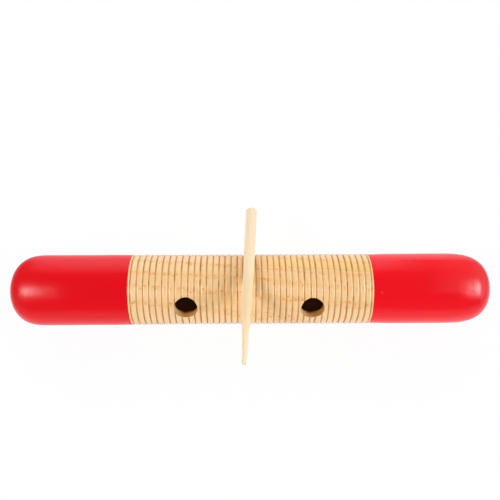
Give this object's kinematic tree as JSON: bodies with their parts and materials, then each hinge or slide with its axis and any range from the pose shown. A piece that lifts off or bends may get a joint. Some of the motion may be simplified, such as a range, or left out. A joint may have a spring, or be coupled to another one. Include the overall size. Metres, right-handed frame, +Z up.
{
  "type": "tube guiro",
  "caption": "Wooden tube guiro: hollow grooved body with sound holes, red lacquered domed end caps, and a loose tapered scraper stick that strokes along the ridges.",
  "frame": {"origin": "on the table plane, straight below the tube's axis at the middle of its length", "axes": "+X along the tube to the right as pictured, +Y to the back, away from the sound holes, +Z up from the table"},
  "size_m": [0.3, 0.1061, 0.0671],
  "materials": {
    "bare_wood": "sanded natural wood, thin clear sealer",
    "red_lacquer": "wood under gloss red lacquer",
    "pale_wood": "bare sanded pale wood"
  },
  "bodies": {
    "guiro_body": {"grooved_tube": "bare_wood", "left_end_cap": "red_lacquer", "right_end_cap": "red_lacquer"},
    "scraper": {"scraper_stick": "pale_wood"}
  },
  "joints": [
    {"name": "scraper_stroke", "type": "slide", "parent": "guiro_body", "child": "scraper", "axis": [1, 0, 0], "range_m": [-0.066, 0.066]}
  ]
}
